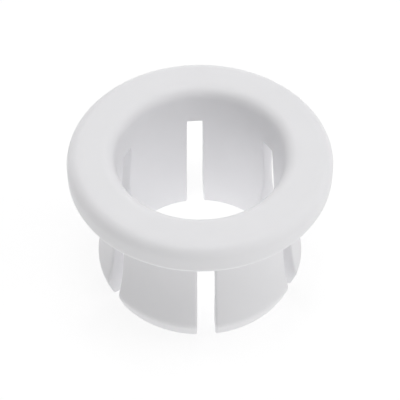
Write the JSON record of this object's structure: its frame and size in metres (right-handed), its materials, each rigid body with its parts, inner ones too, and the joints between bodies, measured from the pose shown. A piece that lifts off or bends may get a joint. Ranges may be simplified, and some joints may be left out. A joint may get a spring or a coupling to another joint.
{
  "type": "desk grommet",
  "caption": "Round snap-in cable grommet: a flange ring with a soft flared mouth over a split sleeve of spring fingers with barbed tips.",
  "frame": {"origin": "on the bore's axis, in the plane of the flange's underside, which lies on the desk's surface", "axes": "+Z along the bore's axis, up out of the desk; one slot of the sleeve opens toward -Y and one toward +Y"},
  "size_m": [0.06, 0.06, 0.0381],
  "materials": {
    "white_plastic": "satin"
  },
  "bodies": {
    "rim": {"rim": "white_plastic"},
    "finger_1": {"snap_finger_1": "white_plastic"},
    "finger_2": {"snap_finger_2": "white_plastic"},
    "finger_3": {"snap_finger_3": "white_plastic"},
    "finger_4": {"snap_finger_4": "white_plastic"},
    "finger_5": {"snap_finger_5": "white_plastic"},
    "finger_6": {"snap_finger_6": "white_plastic"}
  },
  "joints": [
    {"name": "finger_1_flex", "type": "hinge", "parent": "rim", "child": "finger_1", "pos_m": [0.00868, -0.01503, -0.0022], "axis": [0.866, 0.5, 0], "range_deg": [0, 7.5], "stiffness_Nm_per_rad": 4.5},
    {"name": "finger_2_flex", "type": "hinge", "parent": "rim", "child": "finger_2", "pos_m": [0.01735, 0, -0.0022], "axis": [0, 1, 0], "range_deg": [0, 7.5], "stiffness_Nm_per_rad": 4.5},
    {"name": "finger_3_flex", "type": "hinge", "parent": "rim", "child": "finger_3", "pos_m": [0.00868, 0.01503, -0.0022], "axis": [-0.866, 0.5, 0], "range_deg": [0, 7.5], "stiffness_Nm_per_rad": 4.5},
    {"name": "finger_4_flex", "type": "hinge", "parent": "rim", "child": "finger_4", "pos_m": [-0.00868, 0.01503, -0.0022], "axis": [-0.866, -0.5, 0], "range_deg": [0, 7.5], "stiffness_Nm_per_rad": 4.5},
    {"name": "finger_5_flex", "type": "hinge", "parent": "rim", "child": "finger_5", "pos_m": [-0.01735, 0, -0.0022], "axis": [0, -1, 0], "range_deg": [0, 7.5], "stiffness_Nm_per_rad": 4.5},
    {"name": "finger_6_flex", "type": "hinge", "parent": "rim", "child": "finger_6", "pos_m": [-0.00868, -0.01503, -0.0022], "axis": [0.866, -0.5, 0], "range_deg": [0, 7.5], "stiffness_Nm_per_rad": 4.5}
  ]
}
